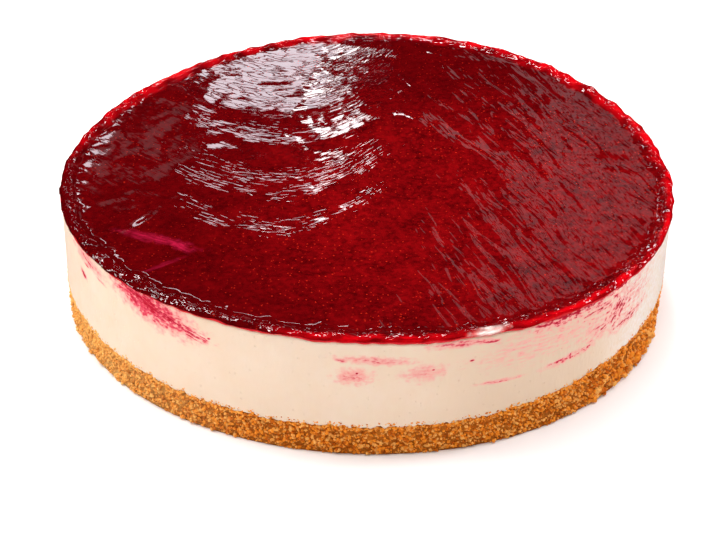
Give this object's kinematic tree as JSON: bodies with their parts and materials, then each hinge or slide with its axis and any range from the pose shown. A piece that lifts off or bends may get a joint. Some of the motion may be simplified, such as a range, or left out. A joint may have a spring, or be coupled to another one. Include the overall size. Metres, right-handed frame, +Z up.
{
  "type": "strawberry cheesecake",
  "caption": "Whole round cheesecake: a crushed biscuit base, a thick cream cheese filling and a glossy strawberry jelly layer on top.",
  "frame": {"origin": "middle of the flat underside of the crumb base", "axes": "+Z up from the base to the jelly, -Y towards the side that the picture shows, +X to its right"},
  "size_m": [0.2638, 0.2627, 0.0567],
  "materials": {
    "biscuit_crumb": "pressed golden-brown biscuit crumbs, granular and dry",
    "cream_cheese": "set cream cheese, nearly smooth with fine pits and thin smears of jelly",
    "strawberry_jelly": "wet glossy dark red jelly with fine seeds and spatula ripples"
  },
  "bodies": {
    "root": {"crumb_base": "biscuit_crumb", "cheese_filling": "cream_cheese", "strawberry_topping": "strawberry_jelly"}
  },
  "joints": []
}
